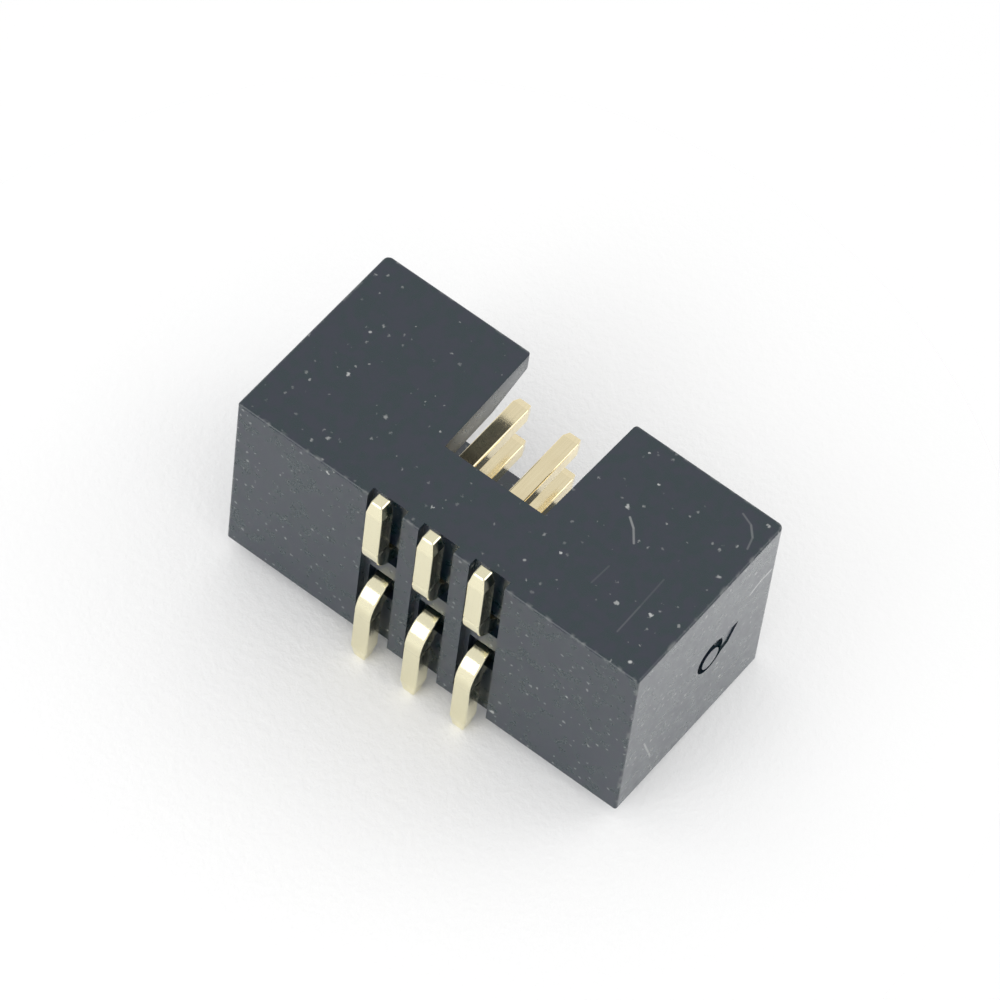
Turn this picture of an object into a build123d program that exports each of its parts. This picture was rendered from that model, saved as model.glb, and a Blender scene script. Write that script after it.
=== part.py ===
"""Shrouded surface-mount pin header, two rows of three contacts at 1.27 mm pitch.

One moulded housing, open at the top, takes the cable socket. Six square
contacts stand in its cavity, pass through its floor and bend outwards into
flat solder tails. The housing rides clear of the board on those tails.

The origin is the middle of the footprint on the board. +Z is the mating
direction, X runs along the rows, and the polarising notch is in the -Y wall.
All sizes are in millimetres.
"""

import os

from build123d import *

os.makedirs("parts", exist_ok=True)

# Contact field
pitch = 1.27              # between neighbouring contacts of a row
row_pitch = 1.27          # between the two rows
columns = 3

# Contacts
wire = 0.40               # side of the square section
bend_inside = 0.35        # inside radius of the bend into the tail
tail_reach = 2.80         # middle of the header to a tail's end
tail_bevel = 0.36         # length of the tapered end of a tail
tail_end = 0.27           # side of the small square that ends a tail
tip_bevel = 0.18          # length of the tapered mating tip
tip_end = 0.28            # side of the small square that ends a mating tip
tip_below_rim = 0.04      # mating tip to the top of the housing

# Housing
body_length = 10.00
body_width = 4.85
body_height = 4.80
standoff = 0.38           # board to the underside of the housing
side_wall = 0.73          # long walls
end_wall = 0.80
floor_thickness = 1.88    # underside to the floor of the cavity
cavity_corner = 0.20      # radius in the corners of the cavity
lead_in = 0.30            # widening of the cavity at its mouth
lead_in_depth = 1.25
edge_radius = 0.06        # moulded outer edges
rim_radius = 0.14         # rounder edges where the rim meets the end walls

# Polarising notch, open at the rim and down to the floor of the cavity
notch_width = 2.50        # at the floor
notch_draft = 0.07        # widening on each side, from the floor to the rim
notch_corner = 0.12       # radius where its sides meet the rim

# Underside: a channel for each pair of tails, deeper round the bends
channel_width = 0.87
channel_depth = 0.20
pocket_width = 0.66
pocket_depth = 0.40
bridge = 0.48             # web left between the two pockets of a channel
bend_clearance = 0.12     # pocket beyond the outer face of a contact
grip_clearance = 0.01     # contact in its hole, each side

# Gate scar on the +X end: a pit round the broken stub, and the flake torn off above it
gate_pit = 0.86
gate_stub = 0.54
gate_depth = 0.10
gate_offset = -0.04       # along Y from the middle of the end wall
gate_height = 2.76        # above the underside
stub_shift = 0.08         # the stub stands off centre in its pit, towards +Y
flake_length = 0.88       # from the middle of the pit upwards
flake_depth = 0.03

# Levels and places that follow
base_z = standoff
rim_z = base_z + body_height
floor_z = base_z + floor_thickness
tip_z = rim_z - tip_below_rim
row_y = row_pitch / 2
cavity_length = body_length - 2 * end_wall
cavity_width = body_width - 2 * side_wall
pocket_outer = row_y + wire / 2 + bend_clearance
pocket_length = pocket_outer - bridge / 2
pocket_middle = (pocket_outer + bridge / 2) / 2
hole = wire + 2 * grip_clearance


# Housing, moulded in one piece
with BuildPart() as housing:
    # Outer block, rounder where the rim meets the end walls
    with BuildSketch(Plane.XZ) as block:
        with Locations((0, (base_z + rim_z) / 2)):
            Rectangle(body_length, body_height)
        fillet(block.vertices().group_by(Axis.Y)[-1], radius=rim_radius)
    extrude(amount=body_width / 2, both=True)

    # Moulded edges round both long sides and under both ends
    long_sides = housing.faces().filter_by(Axis.Y)
    under_ends = housing.edges().filter_by(Axis.Y).group_by(Axis.Z)[0]
    fillet(long_sides.edges() + under_ends, radius=edge_radius)

    # Cavity for the cable socket, straight walls first
    with BuildSketch(Plane.XY.offset(floor_z)):
        RectangleRounded(cavity_length, cavity_width, cavity_corner)
    extrude(amount=rim_z - floor_z, mode=Mode.SUBTRACT)

    # Tapered mouth that guides the socket in
    with BuildSketch(Plane.XY.offset(rim_z - lead_in_depth)):
        RectangleRounded(cavity_length, cavity_width, cavity_corner)
    with BuildSketch(Plane.XY.offset(rim_z)):
        RectangleRounded(
            cavity_length + 2 * lead_in, cavity_width + 2 * lead_in, cavity_corner
        )
    loft(mode=Mode.SUBTRACT)

    # Polarising notch through the -Y wall, with drafted sides and rounded corners at the rim
    mouth_half = notch_width / 2 + notch_draft
    with BuildSketch(Plane.XZ.offset(body_width / 2)) as notch:
        Polygon(
            (-notch_width / 2, floor_z),
            (notch_width / 2, floor_z),
            (mouth_half, rim_z),
            (-mouth_half, rim_z),
            align=None,
        )
        with Locations((0, rim_z)):
            Rectangle(
                2 * mouth_half + 4 * notch_corner, 2 * notch_corner,
                align=(Align.CENTER, Align.MIN),
            )
        rim_corners = notch.vertices().group_by(Axis.Y)[1].sort_by(Axis.X)[1:3]
        fillet(rim_corners, radius=notch_corner)
    extrude(amount=-body_width / 2, mode=Mode.SUBTRACT)

    # Channels across the underside, one for each pair of tails
    with BuildSketch(Plane.XY.offset(base_z)):
        with GridLocations(pitch, 0, columns, 1):
            Rectangle(channel_width, body_width)
    extrude(amount=channel_depth, mode=Mode.SUBTRACT)

    # Deeper pockets round the bends, with a bridge left between the rows
    with BuildSketch(Plane.XY.offset(base_z)):
        with GridLocations(pitch, 2 * pocket_middle, columns, 2):
            Rectangle(pocket_width, pocket_length)
    extrude(amount=pocket_depth, mode=Mode.SUBTRACT)

    # Holes that grip the contacts
    with BuildSketch(Plane.XY.offset(base_z)):
        with GridLocations(pitch, row_pitch, columns, 2):
            Rectangle(hole, hole)
    extrude(amount=floor_thickness, mode=Mode.SUBTRACT)

    # Gate scar: shallow flake first, then the pit with its stub left standing
    scar_plane = Plane(
        origin=(body_length / 2, gate_offset, base_z + gate_height), x_dir=(0, 1, 0), z_dir=(1, 0, 0)
    )
    with BuildSketch(scar_plane):
        Polygon(
            (-gate_pit * 0.42, 0),
            (gate_pit * 0.42, 0),
            (gate_pit * 0.20, flake_length * 0.68),
            (-gate_pit * 0.32, flake_length),
            align=None,
        )
        with Locations((stub_shift, 0)):
            Circle(gate_stub / 2, mode=Mode.SUBTRACT)
    extrude(amount=-flake_depth, mode=Mode.SUBTRACT)
    with BuildSketch(scar_plane):
        Circle(gate_pit / 2)
        with Locations((stub_shift, 0)):
            Circle(gate_stub / 2, mode=Mode.SUBTRACT)
    extrude(amount=-gate_depth, mode=Mode.SUBTRACT)

housing.part.label = "housing"
export_step(housing.part, "parts/housing.step")


# Contacts, cut and bent from square wire
# Odd numbers stand in the row at the notch, even numbers in the other row.
bend_middle = bend_inside + wire / 2

for column in range(columns):
    x = (column - (columns - 1) / 2) * pitch
    for side in (-1, 1):
        number = 2 * column + (1 if side < 0 else 2)
        y = side * row_y
        top_square_z = tip_z - tip_bevel
        tail_square_y = tail_reach - tail_bevel

        with BuildPart() as contact:
            # Square wire from the mating end round the bend to the tail
            with BuildLine(Plane.YZ.offset(x)):
                FilletPolyline(
                    (y, top_square_z),
                    (y, wire / 2),
                    (side * tail_square_y, wire / 2),
                    radius=bend_middle,
                )
            with BuildSketch(Plane.XY.offset(top_square_z)):
                with Locations((x, y)):
                    Rectangle(wire, wire)
            sweep()

            # Tapered mating tip
            with BuildSketch(Plane.XY.offset(top_square_z)):
                with Locations((x, y)):
                    Rectangle(wire, wire)
            with BuildSketch(Plane.XY.offset(tip_z)):
                with Locations((x, y)):
                    Rectangle(tip_end, tip_end)
            loft()

            # Tapered end of the solder tail
            with BuildSketch(Plane.XZ.offset(-side * tail_square_y)):
                with Locations((x, wire / 2)):
                    Rectangle(wire, wire)
            with BuildSketch(Plane.XZ.offset(-side * tail_reach)):
                with Locations((x, wire / 2)):
                    Rectangle(tail_end, tail_end)
            loft()

        contact.part.label = f"contact_{number}"
        export_step(contact.part, f"parts/contact_{number}.step")
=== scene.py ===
"""Looks of a fine-pitch shrouded pin header: black moulded box, six bright gold-flashed contacts.

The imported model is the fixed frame. The housing keeps its solid and gets a moulded finish. Each
contact is drawn again as bent square wire with eased edges, along the same path and to the same
sizes. The camera has the photograph's viewing angle, from below and in front of the header.
"""

import logging
import math
from dataclasses import dataclass, field
from enum import Enum
from typing import Any

import bpy
from mathutils import Euler, Matrix, Vector

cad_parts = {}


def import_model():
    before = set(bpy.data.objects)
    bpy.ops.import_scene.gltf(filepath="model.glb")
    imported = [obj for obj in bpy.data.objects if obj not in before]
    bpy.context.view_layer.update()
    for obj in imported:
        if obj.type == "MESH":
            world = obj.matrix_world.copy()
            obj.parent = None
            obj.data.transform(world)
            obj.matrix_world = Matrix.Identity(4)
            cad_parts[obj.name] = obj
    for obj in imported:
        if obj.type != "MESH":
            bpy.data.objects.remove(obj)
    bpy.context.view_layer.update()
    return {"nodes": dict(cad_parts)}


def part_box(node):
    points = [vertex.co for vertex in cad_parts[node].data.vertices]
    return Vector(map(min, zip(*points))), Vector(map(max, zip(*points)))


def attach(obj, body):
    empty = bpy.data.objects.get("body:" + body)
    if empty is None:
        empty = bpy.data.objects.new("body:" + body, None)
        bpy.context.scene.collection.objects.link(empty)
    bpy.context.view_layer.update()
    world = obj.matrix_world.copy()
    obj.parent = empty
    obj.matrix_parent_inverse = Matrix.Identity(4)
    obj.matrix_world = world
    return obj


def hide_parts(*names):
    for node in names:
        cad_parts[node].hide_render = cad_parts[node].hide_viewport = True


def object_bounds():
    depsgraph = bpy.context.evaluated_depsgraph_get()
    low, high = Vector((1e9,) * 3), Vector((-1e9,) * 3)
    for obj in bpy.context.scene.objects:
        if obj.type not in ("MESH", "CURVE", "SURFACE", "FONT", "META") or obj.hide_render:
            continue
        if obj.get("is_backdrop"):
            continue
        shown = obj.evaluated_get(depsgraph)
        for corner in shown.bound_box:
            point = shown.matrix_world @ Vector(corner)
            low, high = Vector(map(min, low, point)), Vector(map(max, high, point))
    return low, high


MM = 0.001

# Outer faces of the moulding that carry marks, in millimetres
NOTCH_WALL_Y = -2.425
END_WALL_X = 5.0

Pair = tuple[float, float]
Point = tuple[float, float, float]
Colour = tuple[float, float, float]

WHITE: Colour = (1.0, 1.0, 1.0)

log = logging.getLogger("box_header")


class Side(Enum):
    """The two long sides of the header, by the sign of Y."""

    NOTCH = -1
    BLIND = 1


class Graph:
    """A node tree with short calls to add nodes and join them."""

    def __init__(self, tree: bpy.types.NodeTree) -> None:
        """Wraps a node tree.

        Args:
            tree: shader or geometry tree that takes the nodes.
        """
        self.tree = tree

    def add(
        self, kind: str, inputs: dict[Any, Any] | None = None, **settings: Any
    ) -> bpy.types.Node:
        """Adds one node.

        Args:
            kind: Blender's type name of the node.
            inputs: sockets to fill, by name or index, with a value or another node's output.
            **settings: properties of the node itself, set before its sockets.

        Returns:
            The new node.
        """
        node = self.tree.nodes.new(kind)
        for name, value in settings.items():
            setattr(node, name, value)
        for key, value in (inputs or {}).items():
            self.feed(node, key, value)
        return node

    def feed(self, node: bpy.types.Node, key: Any, value: Any) -> None:
        """Sets or links one input.

        Args:
            node: node that is fed.
            key: name or index of its input.
            value: constant, or the output of another node.
        """
        if isinstance(value, bpy.types.NodeSocket):
            self.tree.links.new(value, node.inputs[key])
        else:
            node.inputs[key].default_value = value

    def math(self, operation: str, *terms: Any, clamp: bool = False) -> bpy.types.NodeSocket:
        """Adds a Math node.

        Args:
            operation: name of the operation.
            *terms: one to three numbers or outputs.
            clamp: keeps the result between 0 and 1.

        Returns:
            The result.
        """
        inputs = dict(enumerate(terms))
        node = self.add("ShaderNodeMath", inputs, operation=operation, use_clamp=clamp)
        return node.outputs[0]

    def vector(self, operation: str, *terms: Any) -> bpy.types.Node:
        """Adds a Vector Math node.

        Args:
            operation: name of the operation.
            *terms: vectors, numbers or outputs.

        Returns:
            The node, because some operations put out a number and others a vector.
        """
        return self.add("ShaderNodeVectorMath", dict(enumerate(terms)), operation=operation)

    def stretch(self, vector: Any, factor: Any) -> bpy.types.NodeSocket:
        """Multiplies a vector by a number.

        Args:
            vector: vector to change.
            factor: number to multiply it by.

        Returns:
            The new vector.
        """
        inputs = {0: vector, "Scale": factor}
        return self.add("ShaderNodeVectorMath", inputs, operation="SCALE").outputs[0]

    def noise(self, place: Any, size: Any, detail: Any, roughness: float = 0.5) -> bpy.types.Node:
        """Adds a Noise Texture node.

        Args:
            place: coordinates at which it is read.
            size: rough distance between its bumps.
            detail: number of finer layers.
            roughness: strength of each finer layer.

        Returns:
            The node, with the value as its first output and a colour as its second.
        """
        scale = self.math("DIVIDE", 1.0, size)
        inputs = {"Vector": place, "Scale": scale, "Detail": detail, "Roughness": roughness}
        return self.add("ShaderNodeTexNoise", inputs)

    def ramp(
        self, value: Any, low: Any, high: Any, start: Any = 0.0, end: Any = 1.0
    ) -> bpy.types.NodeSocket:
        """Maps a value smoothly from one range to another.

        Args:
            value: number to map.
            low: value that gives start.
            high: value that gives end.
            start: result at and below low.
            end: result at and above high.

        Returns:
            The mapped number.
        """
        inputs = {0: value, 1: low, 2: high, 3: start, 4: end}
        return self.add("ShaderNodeMapRange", inputs, interpolation_type="SMOOTHSTEP").outputs[0]

    def blend(self, share: Any, first: Any, second: Any) -> bpy.types.NodeSocket:
        """Mixes two colours.

        Args:
            share: part of the second colour, from 0 to 1.
            first: colour where share is 0.
            second: colour where share is 1.

        Returns:
            The mixed colour.
        """
        inputs = {0: share, 6: rgba(first), 7: rgba(second)}
        return self.add("ShaderNodeMix", inputs, data_type="RGBA").outputs[2]

    def lay(self, mask: Any, strength: float, under: Any, over: Any) -> bpy.types.NodeSocket:
        """Lays one colour over another where a mask says.

        Args:
            mask: where the upper colour lies, from 0 to 1.
            strength: how far it hides the lower one there.
            under: the lower colour.
            over: the upper colour.

        Returns:
            The mixed colour.
        """
        return self.blend(self.math("MULTIPLY", mask, strength), under, over)


def rgba(colour: Any) -> Any:
    """Gives a plain colour its fourth number and leaves an output as it is."""
    return colour if isinstance(colour, bpy.types.NodeSocket) else (*colour, 1.0)


class Effect:
    """A shader node group that is built once and placed in many materials."""

    def __init__(self, name: str, inputs: dict[str, float | str], outputs: dict[str, str]) -> None:
        """Makes the empty group with its sockets.

        Args:
            name: name of the group.
            inputs: socket names, with a default number, or "vector" for a vector socket.
            outputs: socket names, with "float" or "vector".
        """
        self.tree = bpy.data.node_groups.new(name, "ShaderNodeTree")
        self.graph = Graph(self.tree)
        for label, value in inputs.items():
            kind = "NodeSocketVector" if isinstance(value, str) else "NodeSocketFloat"
            socket = self.tree.interface.new_socket(name=label, in_out="INPUT", socket_type=kind)
            if not isinstance(value, str):
                socket.default_value = value
        for label, kind in outputs.items():
            socket_type = "NodeSocketVector" if kind == "vector" else "NodeSocketFloat"
            self.tree.interface.new_socket(name=label, in_out="OUTPUT", socket_type=socket_type)
        self.source = self.graph.add("NodeGroupInput")
        self.sink = self.graph.add("NodeGroupOutput")

    def take(self, label: str) -> bpy.types.NodeSocket:
        """Gives one of the group's inputs as a source for its nodes."""
        return self.source.outputs[label]

    def give(self, label: str, value: bpy.types.NodeSocket) -> None:
        """Joins a result to one of the group's outputs."""
        self.graph.feed(self.sink, label, value)

    def place(self, graph: Graph, **inputs: Any) -> bpy.types.Node:
        """Places the group in a material.

        Args:
            graph: graph of the material.
            **inputs: socket names, with underscores for spaces, and their values.

        Returns:
            The group node.
        """
        node = graph.add("ShaderNodeGroup", node_tree=self.tree)
        for label, value in inputs.items():
            graph.feed(node, label.replace("_", " "), value)
        return node


class Effects:
    """The shared surface effects of the header's materials."""

    GRAIN_ROUGHNESS = 0.55
    SPECK_WANDER = 1.6  # how far a speck's outline strays, in radii
    SMALLEST_SPECK = 0.45  # radius of the smallest, as a share of the largest
    SPECK_CORE = 0.45  # solid middle, as a share of the radius
    FAINTEST_SPECK = 0.35
    WEAR_DETAIL = 4.0
    WEAR_STARTS = 0.48  # noise at which wear sets in
    WEAR_IS_FULL = 0.66  # noise at which it is complete
    LINE_MARK_CORE = 0.3  # solid middle, as a share of the width

    def __init__(self) -> None:
        """Builds every group once."""
        self.grain = self._grain()
        self.specks = self._specks()
        self.edge_wear = self._edge_wear()
        self.line_mark = self._line_mark()

    def _grain(self) -> Effect:
        """Builds fine, uneven grain: noise at one size, spread between 0 and 1."""
        inputs = {"Vector": "vector", "Size": MM, "Detail": 3.0, "Low": 0.3, "High": 0.7}
        effect = Effect("Fine grain", inputs, {"Value": "float"})
        graph, take = effect.graph, effect.take
        noise = graph.noise(take("Vector"), take("Size"), take("Detail"), self.GRAIN_ROUGHNESS)
        effect.give("Value", graph.ramp(noise.outputs[0], take("Low"), take("High")))
        return effect

    def _specks(self) -> Effect:
        """Builds scattered specks, each of its own size, outline and strength."""
        inputs = {"Vector": "vector", "Spacing": MM, "Radius": 0.03 * MM, "Share": 0.5}
        effect = Effect("Specks", inputs, {"Mask": "float"})
        graph, take = effect.graph, effect.take
        noise = graph.noise(take("Vector"), take("Radius"), 1.0)
        shift = graph.vector("SUBTRACT", noise.outputs["Color"], (0.5, 0.5, 0.5)).outputs[0]
        wander = graph.math("MULTIPLY", take("Radius"), self.SPECK_WANDER)
        place = graph.vector("ADD", take("Vector"), graph.stretch(shift, wander)).outputs[0]
        scale = graph.math("DIVIDE", 1.0, take("Spacing"))
        cells = graph.add("ShaderNodeTexVoronoi", {"Vector": place, "Scale": scale})
        parts = graph.add("ShaderNodeSeparateColor", {0: cells.outputs["Color"]})
        reach = graph.math("DIVIDE", take("Radius"), take("Spacing"))
        own_size = graph.ramp(parts.outputs[0], 0.0, 1.0, self.SMALLEST_SPECK, 1.0)
        own_reach = graph.math("MULTIPLY", reach, own_size)
        core = graph.math("MULTIPLY", own_reach, self.SPECK_CORE)
        dot = graph.ramp(cells.outputs["Distance"], core, own_reach, 1.0, 0.0)
        kept = graph.math("LESS_THAN", parts.outputs[1], take("Share"))
        strength = graph.ramp(parts.outputs[2], 0.0, 1.0, self.FAINTEST_SPECK, 1.0)
        effect.give("Mask", graph.math("MULTIPLY", graph.math("MULTIPLY", dot, kept), strength))
        return effect

    def _edge_wear(self) -> Effect:
        """Builds a mask that is 1 along the outer edges of a box and uneven along them."""
        inputs = {
            "Vector": "vector",
            "Middle": "vector",
            "Half": "vector",
            "Width": 0.1 * MM,
            "Patch": 0.3 * MM,
        }
        effect = Effect("Edge wear", inputs, {"Mask": "float"})
        graph, take = effect.graph, effect.take
        offset = graph.vector("SUBTRACT", take("Vector"), take("Middle")).outputs[0]
        distance = graph.vector("ABSOLUTE", offset).outputs[0]
        depth = graph.vector("SUBTRACT", distance, take("Half")).outputs[0]
        axes = graph.add("ShaderNodeSeparateXYZ", {0: depth})
        inward = graph.math("MULTIPLY", take("Width"), -1.0)
        near = [graph.ramp(axes.outputs[axis], inward, 0.0) for axis in range(3)]
        low = graph.math("MINIMUM", near[0], near[1])
        high = graph.math("MAXIMUM", near[0], near[1])
        edge = graph.math("MAXIMUM", low, graph.math("MINIMUM", high, near[2]))
        noise = graph.noise(take("Vector"), take("Patch"), self.WEAR_DETAIL)
        patches = graph.ramp(noise.outputs[0], self.WEAR_STARTS, self.WEAR_IS_FULL)
        effect.give("Mask", graph.math("MULTIPLY", edge, patches))
        return effect

    def _line_mark(self) -> Effect:
        """Builds one short straight line between two points, for scratches, hairs and a painted
        highlight.
        """
        inputs = {"Vector": "vector", "Start": "vector", "End": "vector", "Width": 0.03 * MM}
        effect = Effect("Line mark", inputs, {"Mask": "float"})
        graph, take = effect.graph, effect.take
        away = graph.vector("SUBTRACT", take("Vector"), take("Start")).outputs[0]
        run = graph.vector("SUBTRACT", take("End"), take("Start")).outputs[0]
        along = graph.vector("DOT_PRODUCT", away, run).outputs[1]
        whole = graph.vector("DOT_PRODUCT", run, run).outputs[1]
        share = graph.math("DIVIDE", along, whole, clamp=True)
        gap = graph.vector("DISTANCE", away, graph.stretch(run, share)).outputs[1]
        core = graph.math("MULTIPLY", take("Width"), self.LINE_MARK_CORE)
        effect.give("Mask", graph.ramp(gap, core, take("Width"), 1.0, 0.0))
        return effect


def new_material(name: str) -> tuple[bpy.types.Material, Graph, bpy.types.Node]:
    """Starts a material with only its output.

    Args:
        name: name of the material.

    Returns:
        The material, its graph and its output node.
    """
    material = bpy.data.materials.new(name)
    material.use_nodes = True
    material.node_tree.nodes.clear()
    graph = Graph(material.node_tree)
    return material, graph, graph.add("ShaderNodeOutputMaterial")


@dataclass(frozen=True)
class Grain:
    """Fine unevenness of one size over a surface."""

    size: float
    detail: float = 3.0
    low: float = 0.3
    high: float = 0.7

    def value(self, graph: Graph, effects: Effects, place: Any) -> bpy.types.NodeSocket:
        """Gives the grain.

        Args:
            graph: graph of the material.
            effects: the shared effects.
            place: coordinates on the surface.

        Returns:
            The value, from 0 to 1.
        """
        node = effects.grain.place(
            graph, Vector=place, Size=self.size, Detail=self.detail, Low=self.low, High=self.high
        )
        return node.outputs[0]


@dataclass(frozen=True)
class Scatter:
    """Specks of one kind scattered over a surface."""

    spacing: float
    radius: float
    share: float
    strength: float

    def mask(self, graph: Graph, effects: Effects, place: Any) -> bpy.types.NodeSocket:
        """Gives the mask of the specks, before it is scaled by their strength.

        Args:
            graph: graph of the material.
            effects: the shared effects.
            place: coordinates on the surface.

        Returns:
            The mask.
        """
        node = effects.specks.place(
            graph, Vector=place, Spacing=self.spacing, Radius=self.radius, Share=self.share
        )
        return node.outputs[0]


@dataclass(frozen=True)
class PaleMark:
    """One pale mark on the moulding. Most are scratches and hairs; one is a painted highlight. Its
    sizes are in millimetres.
    """

    start: Point
    end: Point
    width: float
    strength: float

    @classmethod
    def on_notch_wall(cls, start: Pair, end: Pair, width: float, strength: float) -> "PaleMark":
        """Places a mark on the outer face of the notch wall.

        Args:
            start: X and Z of its start.
            end: X and Z of its end.
            width: its width.
            strength: how pale it is, from 0 to 1.

        Returns:
            The mark.
        """
        (start_x, start_z), (end_x, end_z) = start, end
        return cls((start_x, NOTCH_WALL_Y, start_z), (end_x, NOTCH_WALL_Y, end_z), width, strength)

    @classmethod
    def on_end_wall(cls, start: Pair, end: Pair, width: float, strength: float) -> "PaleMark":
        """Places a mark on the outer face of the +X end wall.

        Args:
            start: Y and Z of its start.
            end: Y and Z of its end.
            width: its width.
            strength: how pale it is, from 0 to 1.

        Returns:
            The mark.
        """
        return cls((END_WALL_X, *start), (END_WALL_X, *end), width, strength)

    def mask(self, graph: Graph, effects: Effects, place: Any) -> bpy.types.NodeSocket:
        """Gives the mark's mask.

        Args:
            graph: graph of the material.
            effects: the shared effects.
            place: object coordinates.

        Returns:
            The mask, up to the mark's strength.
        """
        node = effects.line_mark.place(
            graph,
            Vector=place,
            Start=Vector(self.start) * MM,
            End=Vector(self.end) * MM,
            Width=self.width * MM,
        )
        return graph.math("MULTIPLY", node.outputs[0], self.strength)


@dataclass(frozen=True)
class MouldedPlastic:
    """Black glass-filled moulding: smooth satin skin, faint cloudiness, dusty specks, worn edges
    and pale lines, one a painted highlight.
    """

    body: Colour = (0.003, 0.018, 0.025)
    cloud: Colour = (0.010, 0.016, 0.032)
    worn: Colour = (0.17, 0.18, 0.18)
    # Colour of dusty specks and pale lines, and of the painted highlight on the notch flank
    dust_and_painted_light: Colour = (0.46, 0.47, 0.46)
    roughness: float = 0.27
    roughness_spread: float = 0.05
    worn_roughness: float = 0.25
    ior: float = 1.65
    clouding: Grain = Grain(0.26 * MM, low=0.35, high=0.65)
    fine_dust: Scatter = Scatter(0.22 * MM, 0.050 * MM, share=0.90, strength=0.45)
    coarse_dust: Scatter = Scatter(0.62 * MM, 0.075 * MM, share=0.50, strength=0.90)
    wear_width: float = 0.09 * MM
    wear_patch: float = 0.22 * MM
    wear_strength: float = 0.8

    def build(
        self, effects: Effects, middle: Vector, half: Vector, scuffs_and_painted_light: list[PaleMark]
    ) -> bpy.types.Material:
        """Makes the material.

        Args:
            effects: the shared effects.
            middle: middle of the housing's box.
            half: half its size along each axis.
            scuffs_and_painted_light: the pale lines on its faces, one of them a painted highlight
                on the notch flank.

        Returns:
            The material.
        """
        material, graph, output = new_material("moulded_plastic")
        place = graph.add("ShaderNodeTexCoord").outputs["Object"]
        cloud = self.clouding.value(graph, effects, place)
        fine = self.fine_dust.mask(graph, effects, place)
        coarse = self.coarse_dust.mask(graph, effects, place)
        wear = effects.edge_wear.place(
            graph,
            Vector=place,
            Middle=middle,
            Half=half,
            Width=self.wear_width,
            Patch=self.wear_patch,
        ).outputs[0]
        marks_and_painted_light: Any = 0.0
        for line_mark in scuffs_and_painted_light:
            marks_and_painted_light = graph.math("MAXIMUM", marks_and_painted_light, line_mark.mask(graph, effects, place))

        colour = graph.blend(cloud, self.body, self.cloud)
        colour = graph.lay(wear, self.wear_strength, colour, self.worn)
        colour = graph.lay(fine, self.fine_dust.strength, colour, self.dust_and_painted_light)
        colour = graph.lay(coarse, self.coarse_dust.strength, colour, self.dust_and_painted_light)
        # The pale lines and specks listed on the housing; the wide one on the notch flank is a
        # painted highlight
        colour = graph.blend(marks_and_painted_light, colour, self.dust_and_painted_light)

        spread = graph.math("MULTIPLY", cloud, self.roughness_spread)
        rough = graph.math("ADD", spread, self.roughness)
        worn = graph.math("MULTIPLY", wear, self.worn_roughness)
        rough = graph.math("ADD", rough, worn, clamp=True)
        skin = graph.add(
            "ShaderNodeBsdfPrincipled",
            {"Base Color": colour, "Roughness": rough, "Metallic": 0.0, "IOR": self.ior},
        )
        graph.feed(output, "Surface", skin.outputs[0])
        return material


@dataclass(frozen=True)
class GoldFlash:
    """Bright gold flash over drawn wire, with fine lines along it, paler on the tails."""

    metal: Colour = (0.87, 0.77, 0.52)
    shade: Colour = (0.75, 0.63, 0.39)
    pale: Colour = (0.87, 0.83, 0.60)
    soil: Colour = (0.20, 0.15, 0.09)
    roughness: float = 0.09
    roughness_spread: float = 0.10
    pit_roughness: float = 0.3
    lines: Grain = Grain(0.05 * MM, low=0.25, high=0.75)
    line_stretch: float = 0.02
    line_strength: float = 0.40
    line_height: float = 0.0012 * MM
    tint: Grain = Grain(0.45 * MM, detail=2.0, low=0.42, high=0.72)
    tint_strength: float = 0.30
    satin: Grain = Grain(0.03 * MM, detail=2.0)
    satin_height: float = 0.5
    bump_strength: float = 0.5
    pits: Scatter = Scatter(0.35 * MM, 0.022 * MM, share=0.35, strength=0.55)
    pale_height: float = 0.9 * MM
    pale_strength: float = 0.85
    attribute: str = "wire_place"

    def build(self, effects: Effects) -> bpy.types.Material:
        """Makes the material.

        Args:
            effects: the shared effects.

        Returns:
            The material.
        """
        material, graph, output = new_material("gold_flash")
        place = graph.add("ShaderNodeTexCoord").outputs["Object"]
        wire = graph.add("ShaderNodeAttribute", attribute_name=self.attribute).outputs["Vector"]
        drawn = graph.vector("MULTIPLY", wire, (1.0, 1.0, self.line_stretch)).outputs[0]
        lines = self.lines.value(graph, effects, drawn)
        tint = self.tint.value(graph, effects, place)
        satin = self.satin.value(graph, effects, place)
        pits = self.pits.mask(graph, effects, place)

        colour = graph.lay(lines, self.line_strength, self.metal, self.shade)
        colour = graph.lay(tint, self.tint_strength, colour, self.shade)
        level = graph.add("ShaderNodeSeparateXYZ", {0: place}).outputs[2]
        # Paler gold low down, on the tails
        paler_below = graph.ramp(level, self.pale_height, self.pale_height * 2, self.pale_strength, 0.0)
        colour = graph.blend(paler_below, colour, self.pale)
        colour = graph.lay(pits, self.pits.strength, colour, self.soil)

        spread = graph.math("MULTIPLY", lines, self.roughness_spread)
        rough = graph.math("ADD", spread, self.roughness)
        pitted = graph.math("MULTIPLY", pits, self.pit_roughness)
        rough = graph.math("ADD", rough, pitted, clamp=True)
        height = graph.math("ADD", lines, graph.math("MULTIPLY", satin, self.satin_height))
        bump = graph.add(
            "ShaderNodeBump",
            {"Strength": self.bump_strength, "Distance": self.line_height, "Height": height},
        )
        metal = graph.add(
            "ShaderNodeBsdfPrincipled",
            {"Base Color": colour, "Roughness": rough, "Metallic": 1.0, "Normal": bump.outputs[0]},
        )
        graph.feed(output, "Surface", metal.outputs[0])
        return material


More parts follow.
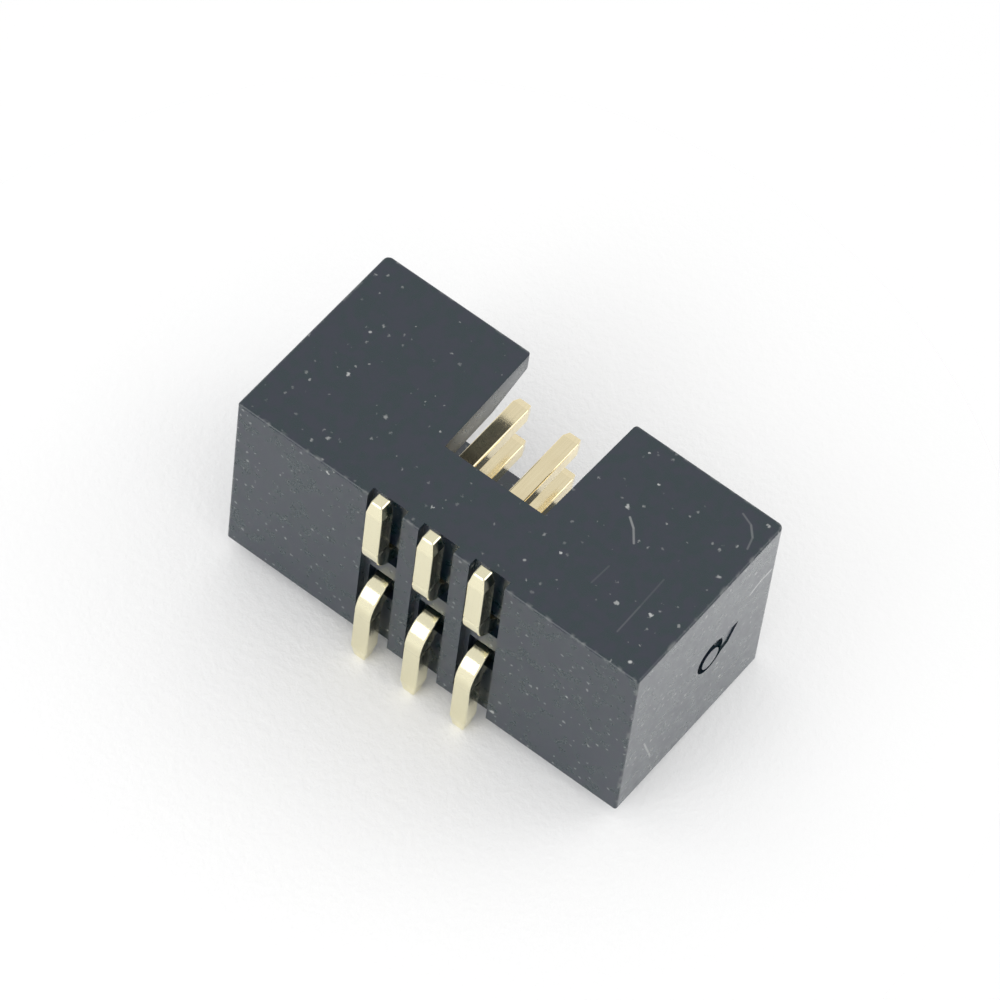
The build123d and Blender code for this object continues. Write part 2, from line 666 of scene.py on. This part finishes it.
@dataclass
class Housing:
    """The black moulded box. Its solid is right as it is, so only its finish is made here."""

    node: str = "housing"
    finish: MouldedPlastic = field(default_factory=MouldedPlastic)
    scuffs_and_painted_light: list[PaleMark] = field(
        default_factory=lambda: [
            # Bent scratch, then a long faint hair and a short one
            PaleMark.on_notch_wall((2.55, 3.33), (2.76, 3.17), 0.034, 0.40),
            PaleMark.on_notch_wall((2.76, 3.17), (2.98, 2.89), 0.034, 0.34),
            PaleMark.on_notch_wall((3.97, 1.05), (3.96, 1.80), 0.026, 0.10),
            PaleMark.on_notch_wall((3.96, 1.80), (3.94, 2.60), 0.026, 0.06),
            PaleMark.on_notch_wall((2.90, 1.62), (2.93, 2.15), 0.026, 0.06),
            # Curved hair in the corner of the rim
            PaleMark.on_notch_wall((4.20, 4.86), (4.48, 4.75), 0.030, 0.16),
            PaleMark.on_notch_wall((4.48, 4.75), (4.68, 4.53), 0.034, 0.22),
            PaleMark.on_notch_wall((4.68, 4.53), (4.76, 4.25), 0.030, 0.16),
            # Bright specks
            PaleMark.on_notch_wall((4.58, 0.65), (4.59, 0.66), 0.050, 0.90),
            PaleMark.on_notch_wall((1.58, 1.17), (1.59, 1.18), 0.040, 0.55),
            PaleMark.on_notch_wall((-4.08, 3.44), (-4.07, 3.45), 0.040, 0.70),
            # Bent hair at the top of the end wall, and a scratch near its foot
            PaleMark.on_end_wall((-0.94, 4.30), (-1.05, 4.60), 0.045, 0.65),
            PaleMark.on_end_wall((-1.05, 4.60), (-1.05, 4.98), 0.045, 0.65),
            PaleMark.on_end_wall((0.70, 1.06), (1.60, 1.40), 0.032, 0.40),
            # Painted highlight: a faint pale patch on the flank of the notch that faces +X, for the
            # light that flank catches
            PaleMark((-1.28, -2.06, 2.60), (-1.30, -2.06, 4.80), 0.340, 0.15),
        ]
    )

    def dress(self, nodes: dict[str, bpy.types.Object], effects: Effects) -> None:
        """Gives the housing its finish.

        Args:
            nodes: the CAD nodes by name.
            effects: the shared effects.
        """
        low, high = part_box(self.node)
        material = self.finish.build(effects, (low + high) / 2, (high - low) / 2, self.scuffs_and_painted_light)
        mesh = nodes[self.node].data
        mesh.materials.clear()
        mesh.materials.append(material)
        log.info("%s: moulded finish on the CAD solid, %d faces", self.node, len(mesh.polygons))


class WirePath:
    """The geometry node tree that bends and points one square contact."""

    INPUTS = (
        "Wire", "Corner Radius", "Bend Radius", "Bend Swell", "Crease Depth", "Crease Width",
        "Tip Height", "Tip Bevel", "Tip End", "Tail Reach", "Tail Bevel", "Tail End",
        "End Ease", "Column", "Row", "Side",
    )
    BEND_POINT = 3  # the point of the path that the bend rounds off
    CORNER_STEPS = 4
    EASED_END = 0.84  # the section's scale right at an end
    SHARP_ANGLE = math.radians(7.0)

    def __init__(self, attribute: str) -> None:
        """Builds the tree.

        Args:
            attribute: name under which a point's place on the wire is kept for the finish.
        """
        self.tree = bpy.data.node_groups.new("Bent contact", "GeometryNodeTree")
        self.graph = Graph(self.tree)
        face = self.tree.interface
        for label in self.INPUTS:
            face.new_socket(name=label, in_out="INPUT", socket_type="NodeSocketFloat")
        face.new_socket(name="Bend Steps", in_out="INPUT", socket_type="NodeSocketInt")
        face.new_socket(name="Finish", in_out="INPUT", socket_type="NodeSocketMaterial")
        face.new_socket(name="Geometry", in_out="OUTPUT", socket_type="NodeSocketGeometry")
        self.source = self.graph.add("NodeGroupInput")
        self._build(attribute)

    def take(self, label: str) -> bpy.types.NodeSocket:
        """Gives one of the tree's inputs."""
        return self.source.outputs[label]

    def _point(self, across: Any, height: Any) -> bpy.types.NodeSocket:
        """Gives a point of the path in the contact's own plane.

        Args:
            across: distance from the middle of the header, along Y on the contact's side.
            height: height above the board.

        Returns:
            The point.
        """
        y = self.graph.math("MULTIPLY", across, self.take("Side"))
        parts = {0: self.take("Column"), 1: y, 2: height}
        return self.graph.add("ShaderNodeCombineXYZ", parts).outputs[0]

    def _path(self) -> bpy.types.NodeSocket:
        """Makes the centre line: down the shank, round the bend, out along the tail."""
        graph, take = self.graph, self.take
        half = graph.math("MULTIPLY", take("Wire"), 0.5)
        tip_ease = graph.math("SUBTRACT", take("Tip Height"), take("End Ease"))
        tip_square = graph.math("SUBTRACT", take("Tip Height"), take("Tip Bevel"))
        bend_end = graph.math("ADD", take("Row"), take("Bend Radius"))
        crease_middle = graph.math("ADD", bend_end, take("Crease Width"))
        crease_end = graph.math("ADD", crease_middle, take("Crease Width"))
        tail_square = graph.math("SUBTRACT", take("Tail Reach"), take("Tail Bevel"))
        tail_ease = graph.math("SUBTRACT", take("Tail Reach"), take("End Ease"))
        places = [
            self._point(take("Row"), take("Tip Height")),
            self._point(take("Row"), tip_ease),
            self._point(take("Row"), tip_square),
            self._point(take("Row"), half),
            self._point(crease_middle, half),
            self._point(crease_end, half),
            self._point(tail_square, half),
            self._point(tail_ease, half),
            self._point(take("Tail Reach"), half),
        ]
        index = graph.add("GeometryNodeInputIndex").outputs[0]
        switch = graph.add("GeometryNodeIndexSwitch", data_type="VECTOR")
        for _ in range(len(places) - len(switch.index_switch_items)):
            switch.index_switch_items.new()
        graph.feed(switch, 0, index)
        for number, place in enumerate(places):
            graph.feed(switch, number + 1, place)
        line = graph.add("GeometryNodeMeshLine", {"Count": len(places)})
        bent = graph.add(
            "GeometryNodeSetPosition",
            {"Geometry": line.outputs[0], "Position": switch.outputs[0]},
        )
        curve = graph.add("GeometryNodeMeshToCurve", {"Mesh": bent.outputs[0]})
        corner = graph.add("FunctionNodeCompare", data_type="INT", operation="EQUAL")
        graph.feed(corner, 2, index)
        graph.feed(corner, 3, self.BEND_POINT)
        radius = graph.math("MULTIPLY", take("Bend Radius"), corner.outputs[0])
        fillet = graph.add(
            "GeometryNodeFilletCurve",
            {"Curve": curve.outputs[0], "Count": take("Bend Steps"), "Radius": radius},
            mode="POLY",
        )
        return fillet.outputs[0]

    def _taper(self, run: Any, length: Any, end: Any) -> bpy.types.NodeSocket:
        """Gives the section's scale over one tapered end.

        Args:
            run: distance from that end.
            length: length of the taper.
            end: side of the small square at the end.

        Returns:
            The scale, 1 beyond the taper.
        """
        share = self.graph.math("DIVIDE", end, self.take("Wire"))
        node = self.graph.add("ShaderNodeMapRange", {0: run, 1: 0.0, 2: length, 3: share, 4: 1.0})
        return node.outputs[0]

    def _bend_marks(self, from_tail: Any) -> bpy.types.NodeSocket:
        """Gives the section's scale where the wire swells in the bend and the tool creased its end.

        Args:
            from_tail: distance from the end of the tail.

        Returns:
            The scale, 1 away from the bend.
        """
        graph, take = self.graph, self.take
        tail = graph.math("SUBTRACT", take("Tail Reach"), take("Row"))
        flat = graph.math("SUBTRACT", tail, take("Bend Radius"))
        past = graph.math("SUBTRACT", from_tail, flat)
        arc = graph.math("MULTIPLY", take("Bend Radius"), math.pi / 2)
        turn = graph.math("DIVIDE", past, arc, clamp=True)
        hump = graph.math("SINE", graph.math("MULTIPLY", turn, math.pi))
        swell = graph.math("MULTIPLY", hump, take("Bend Swell"))
        off = graph.math("ABSOLUTE", graph.math("ADD", past, take("Crease Width")))
        dip = graph.ramp(off, 0.0, take("Crease Width"), take("Crease Depth"), 0.0)
        return graph.math("SUBTRACT", graph.math("ADD", swell, 1.0), dip)

    def _build(self, attribute: str) -> None:
        """Joins path, section, tapers, finish and the stored place on the wire.

        Args:
            attribute: name of the stored vector.
        """
        graph, take = self.graph, self.take
        spline = graph.add("GeometryNodeSplineParameter")
        total = graph.add("GeometryNodeSplineLength").outputs[0]
        from_tip = spline.outputs["Length"]
        from_tail = graph.math("SUBTRACT", total, from_tip)
        tip = self._taper(from_tip, take("Tip Bevel"), take("Tip End"))
        tail = self._taper(from_tail, take("Tail Bevel"), take("Tail End"))
        nearest = graph.math("MINIMUM", from_tip, from_tail)
        ease = graph.add(
            "ShaderNodeMapRange",
            {0: nearest, 1: 0.0, 2: take("End Ease"), 3: self.EASED_END, 4: 1.0},
        )
        scale = graph.math("MULTIPLY", graph.math("MINIMUM", tip, tail), ease.outputs[0])
        scale = graph.math("MULTIPLY", scale, self._bend_marks(from_tail))

        path = graph.add("GeometryNodeCaptureAttribute", {"Geometry": self._path()}, domain="POINT")
        path.capture_items.new("FLOAT", "Along")
        graph.feed(path, "Along", from_tip)
        square = graph.add(
            "GeometryNodeCurvePrimitiveQuadrilateral",
            {"Width": take("Wire"), "Height": take("Wire")},
        )
        eased = graph.add(
            "GeometryNodeFilletCurve",
            {
                "Curve": square.outputs[0],
                "Count": self.CORNER_STEPS,
                "Radius": take("Corner Radius"),
            },
            mode="POLY",
        )
        section = graph.add(
            "GeometryNodeCaptureAttribute", {"Geometry": eased.outputs[0]}, domain="POINT"
        )
        section.capture_items.new("VECTOR", "Across")
        graph.feed(section, "Across", graph.add("GeometryNodeInputPosition").outputs[0])
        swept = graph.add(
            "GeometryNodeCurveToMesh",
            {
                "Curve": path.outputs["Geometry"],
                "Profile Curve": section.outputs["Geometry"],
                "Scale": scale,
                "Fill Caps": True,
            },
        )
        angle = graph.add("GeometryNodeInputMeshEdgeAngle").outputs[0]
        crease = graph.add(
            "FunctionNodeCompare", {0: angle, 1: self.SHARP_ANGLE}, operation="GREATER_THAN"
        )
        smooth = graph.add(
            "GeometryNodeSetShadeSmooth",
            {"Geometry": swept.outputs[0], "Shade Smooth": True},
            domain="FACE",
        )
        sharp = graph.add(
            "GeometryNodeSetShadeSmooth",
            {"Geometry": smooth.outputs[0], "Selection": crease.outputs[0], "Shade Smooth": False},
            domain="EDGE",
        )
        parts = graph.add("ShaderNodeSeparateXYZ", {0: section.outputs["Across"]})
        where = graph.add(
            "ShaderNodeCombineXYZ",
            {0: parts.outputs[0], 1: parts.outputs[1], 2: path.outputs["Along"]},
        )
        stored = graph.add(
            "GeometryNodeStoreNamedAttribute",
            {"Geometry": sharp.outputs[0], "Name": attribute},
            data_type="FLOAT_VECTOR",
            domain="POINT",
        )
        graph.feed(stored, "Value", where.outputs[0])
        real = graph.add("GeometryNodeRealizeInstances", {"Geometry": stored.outputs[0]})
        dressed = graph.add(
            "GeometryNodeSetMaterial", {"Geometry": real.outputs[0], "Material": take("Finish")}
        )
        sink = graph.add("NodeGroupOutput")
        graph.feed(sink, 0, dressed.outputs[0])

    def make(self, name: str, sizes: dict[str, Any]) -> bpy.types.Object:
        """Runs the tree once and keeps the result as a plain mesh.

        Args:
            name: name of the piece.
            sizes: value of each named input.

        Returns:
            The piece, at the origin, with no modifier left.
        """
        seed = bpy.data.meshes.new(name + "_seed")
        seed.from_pydata([(0.0, 0.0, 0.0)], [], [])
        carrier = bpy.data.objects.new(name + "_seed", seed)
        bpy.context.scene.collection.objects.link(carrier)
        modifier = carrier.modifiers.new("wire", "NODES")
        modifier.node_group = self.tree
        for item in self.tree.interface.items_tree:
            if item.item_type == "SOCKET" and item.in_out == "INPUT":
                modifier[item.identifier] = sizes[item.name]
        graph = bpy.context.evaluated_depsgraph_get()
        mesh = bpy.data.meshes.new_from_object(
            carrier.evaluated_get(graph), preserve_all_data_layers=True, depsgraph=graph
        )
        bpy.data.objects.remove(carrier)
        bpy.data.meshes.remove(seed)
        mesh.name = name
        piece = bpy.data.objects.new(name, mesh)
        bpy.context.scene.collection.objects.link(piece)
        return piece


@dataclass
class ContactField:
    """The six contacts, two rows of three, each bent outwards into its solder tail."""

    columns: int = 3
    body: str = "root"
    slot: str = "contact_plating"
    corner_radius: float = 0.035 * MM
    bend_radius: float = 0.55 * MM
    bend_swell: float = 0.045
    crease_depth: float = 0.035
    crease_width: float = 0.035 * MM
    tip_bevel: float = 0.18 * MM
    tip_end: float = 0.28 * MM
    tail_bevel: float = 0.36 * MM
    tail_end: float = 0.27 * MM
    end_ease: float = 0.02 * MM
    bend_steps: int = 24
    finish: GoldFlash = field(default_factory=GoldFlash)

    def node(self, column: int, side: Side) -> str:
        """Gives the CAD node of one contact: odd numbers at the notch, even at the blind wall."""
        return f"contact_{2 * column + (1 if side is Side.NOTCH else 2)}"

    def build(self, effects: Effects) -> list[bpy.types.Object]:
        """Makes every contact and puts it in its node's place.

        Args:
            effects: the shared effects.

        Returns:
            The pieces.
        """
        path = WirePath(self.finish.attribute)
        material = self.finish.build(effects)
        pieces = []
        for column in range(self.columns):
            for side in Side:
                pieces.append(self._contact(path, material, column, side))
        return pieces

    def _contact(
        self, path: WirePath, material: bpy.types.Material, column: int, side: Side
    ) -> bpy.types.Object:
        """Makes one contact from its node's box and the shared sizes.

        Args:
            path: the tree that bends the wire.
            material: the contacts' finish.
            column: place along X, from 0 at -X.
            side: the row it stands in.

        Returns:
            The piece.
        """
        node = self.node(column, side)
        low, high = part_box(node)
        wire = high.x - low.x
        inner, outer = sorted((abs(low.y), abs(high.y)))
        piece = path.make(
            node + "_wire",
            {
                "Wire": wire,
                "Corner Radius": self.corner_radius,
                "Bend Radius": self.bend_radius,
                "Bend Swell": self.bend_swell,
                "Crease Depth": self.crease_depth,
                "Crease Width": self.crease_width,
                "Tip Height": high.z,
                "Tip Bevel": self.tip_bevel,
                "Tip End": self.tip_end,
                "Tail Reach": outer,
                "Tail Bevel": self.tail_bevel,
                "Tail End": self.tail_end,
                "End Ease": self.end_ease,
                "Column": (low.x + high.x) / 2,
                "Row": inner + wire / 2,
                "Side": float(side.value),
                "Bend Steps": self.bend_steps,
                "Finish": material,
            },
        )
        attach(piece, self.body)
        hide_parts(node)
        log.info("%s: bent wire for %s, %d faces", piece.name, node, len(piece.data.polygons))
        return piece


@dataclass(frozen=True)
class Lamp:
    """A soft square lamp that looks at the header."""

    name: str
    place: Point
    size: float
    power: float
    colour: Colour = WHITE

    def hang(self, target: Vector) -> None:
        """Adds the lamp to the scene.

        Args:
            target: point it faces.
        """
        light = bpy.data.lights.new(self.name, "AREA")
        light.shape = "SQUARE"
        light.size = self.size
        light.energy = self.power
        light.color = self.colour
        lamp = bpy.data.objects.new(self.name, light)
        lamp.location = Vector(self.place)
        lamp.rotation_euler = (target - lamp.location).to_track_quat("-Z", "Y").to_euler()
        lamp.visible_camera = False
        bpy.context.scene.collection.objects.link(lamp)
        log.info("%s: %.3f W from %s", self.name, self.power, self.place)


@dataclass(frozen=True)
class PaleGround:
    """Pale ground that only the camera sees, and reflections where that is asked for.

    It is seen from its front alone, so it never stands between the camera and the header.
    """

    name: str
    colour: Colour
    solid_radius: float
    fade_radius: float
    in_reflections: float = 0.0
    tooth: Grain = Grain(0.16 * MM)
    tooth_height: float = 0.005 * MM

    def build(self, effects: Effects, middle: Vector) -> bpy.types.Material:
        """Makes the material, which fades out round its middle into the white background.

        Args:
            effects: the shared effects.
            middle: point round which it is solid.

        Returns:
            The material.
        """
        material, graph, output = new_material(self.name)
        place = graph.add("ShaderNodeTexCoord").outputs["Object"]
        tooth = self.tooth.value(graph, effects, place)
        bump = graph.add(
            "ShaderNodeBump", {"Distance": self.tooth_height, "Height": tooth, "Strength": 1.0}
        )
        paper = graph.add(
            "ShaderNodeBsdfDiffuse", {"Color": rgba(self.colour), "Normal": bump.outputs[0]}
        )
        away = graph.vector("DISTANCE", place, middle).outputs[1]
        solid = graph.ramp(away, self.solid_radius, self.fade_radius, 1.0, 0.0)
        path = graph.add("ShaderNodeLightPath")
        seen = path.outputs["Is Camera Ray"]
        mirrored = graph.math("MULTIPLY", path.outputs["Is Glossy Ray"], self.in_reflections)
        seen = graph.math("MAXIMUM", seen, mirrored)
        behind = graph.add("ShaderNodeNewGeometry").outputs["Backfacing"]
        front = graph.math("SUBTRACT", 1.0, behind)
        shown = graph.math("MULTIPLY", graph.math("MULTIPLY", solid, seen), front)
        clear = graph.add("ShaderNodeBsdfTransparent")
        mix = graph.add("ShaderNodeMixShader", {0: shown, 1: clear.outputs[0], 2: paper.outputs[0]})
        graph.feed(output, "Surface", mix.outputs[0])
        return material


@dataclass
class Studio:
    """Camera, soft light, white surroundings and the pale ground under and behind the header."""

    camera_place: Point = (0.0379839, -0.1120548, -0.0606124)
    camera_turn: Point = (126.893751, -37.681595, -5.705433)
    focal_pixels: float = 6696.547
    image_pixels: float = 1000.0
    sensor: float = 36.0
    clip: Pair = (0.01, 10.0)
    ambient: float = 0.94
    toward_camera: float = 0.83
    dimmed_sky: Pair = (-1.0, 0.2)  # Y of the directions between which the sky gets brighter
    ground_reach: float = 0.6
    floor_level: float = -0.015 * MM
    floor: PaleGround = PaleGround("pale_floor", (0.90, 0.90, 0.90), 12 * MM, 35 * MM)
    table: PaleGround = PaleGround(
        "pale_table", (0.97, 0.97, 0.97), 1 * MM, 19 * MM, in_reflections=1.0
    )
    tail_touch: Pair = (2.81 * MM, 0.335 * MM)  # Y and Z where the tails meet the table
    rim_touch: Pair = (2.435 * MM, 5.12 * MM)  # Y and Z where the rim meets it
    shade_place: Pair = (-1.5 * MM, 1.3 * MM)  # X and Z of the middle of its solid part
    lamps: tuple[Lamp, ...] = (
        Lamp("key_softbox", (0.060, -0.055, 0.065), 0.055, 0.014),
        Lamp("low_card", (-0.030, -0.048, -0.088), 0.058, 0.024),
        Lamp("end_softbox", (0.040, 0.100, 0.054), 0.080, 0.022),
        Lamp("back_fill", (-0.050, 0.090, 0.060), 0.060, 0.012),
    )

    def set_camera(self) -> None:
        """Puts the camera at the photograph's viewing angle."""
        camera = bpy.data.cameras.new("photo_camera")
        camera.sensor_fit = "HORIZONTAL"
        camera.sensor_width = self.sensor
        camera.lens = self.focal_pixels / self.image_pixels * self.sensor
        camera.clip_start, camera.clip_end = self.clip
        holder = bpy.data.objects.new("photo_camera", camera)
        turn = Euler([math.radians(angle) for angle in self.camera_turn], "XYZ")
        place = Matrix.Translation(Vector(self.camera_place))
        holder.matrix_world = place @ turn.to_matrix().to_4x4()
        bpy.context.scene.collection.objects.link(holder)
        bpy.context.scene.camera = holder

    def set_world(self) -> None:
        """Surrounds the header with white, a little dimmer where it only lights."""
        world = bpy.data.worlds.new("white_tent")
        world.use_nodes = True
        world.node_tree.nodes.clear()
        graph = Graph(world.node_tree)
        path = graph.add("ShaderNodeLightPath")
        seen = graph.math("MAXIMUM", path.outputs["Is Camera Ray"], path.outputs["Is Glossy Ray"])
        seen = graph.math("MAXIMUM", seen, path.outputs["Is Transmission Ray"])
        glossy = path.outputs["Is Glossy Ray"]
        direction = graph.add("ShaderNodeTexCoord").outputs["Generated"]
        forward = graph.add("ShaderNodeSeparateXYZ", {0: direction}).outputs[1]
        dimmed = graph.ramp(forward, *self.dimmed_sky, self.toward_camera, 1.0)
        reflected = graph.ramp(glossy, 0.0, 1.0, 1.0, dimmed)
        strength = graph.ramp(seen, 0.0, 1.0, self.ambient, reflected)
        sky = graph.add("ShaderNodeBackground", {"Color": rgba(WHITE), "Strength": strength})
        output = graph.add("ShaderNodeOutputWorld")
        graph.feed(output, "Surface", sky.outputs[0])
        bpy.context.scene.world = world

    def _sheet(self, name: str, near: Pair, far: Pair, material: bpy.types.Material) -> None:
        """Adds one flat stage sheet, which reaches as far along X as the ground does.

        Args:
            name: name of the sheet.
            near: Y and Z of its edge on the camera's side.
            far: Y and Z of its other edge.
            material: its material.
        """
        reach = self.ground_reach
        corners = [(-reach, *near), (reach, *near), (reach, *far), (-reach, *far)]
        mesh = bpy.data.meshes.new(name)
        mesh.from_pydata(corners, [], [tuple(range(len(corners)))])
        mesh.materials.append(material)
        sheet = bpy.data.objects.new(name, mesh)
        bpy.context.scene.collection.objects.link(sheet)
        sheet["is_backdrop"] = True
        log.info("%s: stage", name)

    def _table_y(self, height: float) -> float:
        """Gives the Y of the leaning table at a height."""
        (low_y, low_z), (high_y, high_z) = self.tail_touch, self.rim_touch
        return low_y + (high_y - low_y) / (high_z - low_z) * (height - low_z)

    def lay_ground(self, effects: Effects) -> None:
        """Lays the floor under the header and the leaning table that its blind wall rests on.

        Args:
            effects: the shared effects.
        """
        reach, level = self.ground_reach, self.floor_level
        low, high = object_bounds()
        middle = (low + high) / 2
        floor = self.floor.build(effects, Vector((middle.x, middle.y, level)))
        self._sheet("floor", (-reach, level), (reach, level), floor)

        x, z = self.shade_place
        table = self.table.build(effects, Vector((x, self._table_y(z), z)))
        bottom, top = (self._table_y(-reach), -reach), (self._table_y(reach), reach)
        self._sheet("table", bottom, top, table)

    def build(self, effects: Effects) -> None:
        """Sets camera, surroundings, ground and lamps.

        Args:
            effects: the shared effects.
        """
        self.set_camera()
        self.set_world()
        self.lay_ground(effects)
        low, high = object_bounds()
        for lamp in self.lamps:
            lamp.hang((low + high) / 2)


def main() -> None:
    """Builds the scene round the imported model."""
    logging.basicConfig(level=logging.INFO, format="%(name)s: %(message)s")
    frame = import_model()
    bpy.context.scene.view_settings.view_transform = "Standard"
    effects = Effects()
    Studio().build(effects)
    Housing().dress(frame["nodes"], effects)
    ContactField().build(effects)


if __name__ == "__main__":
    main()
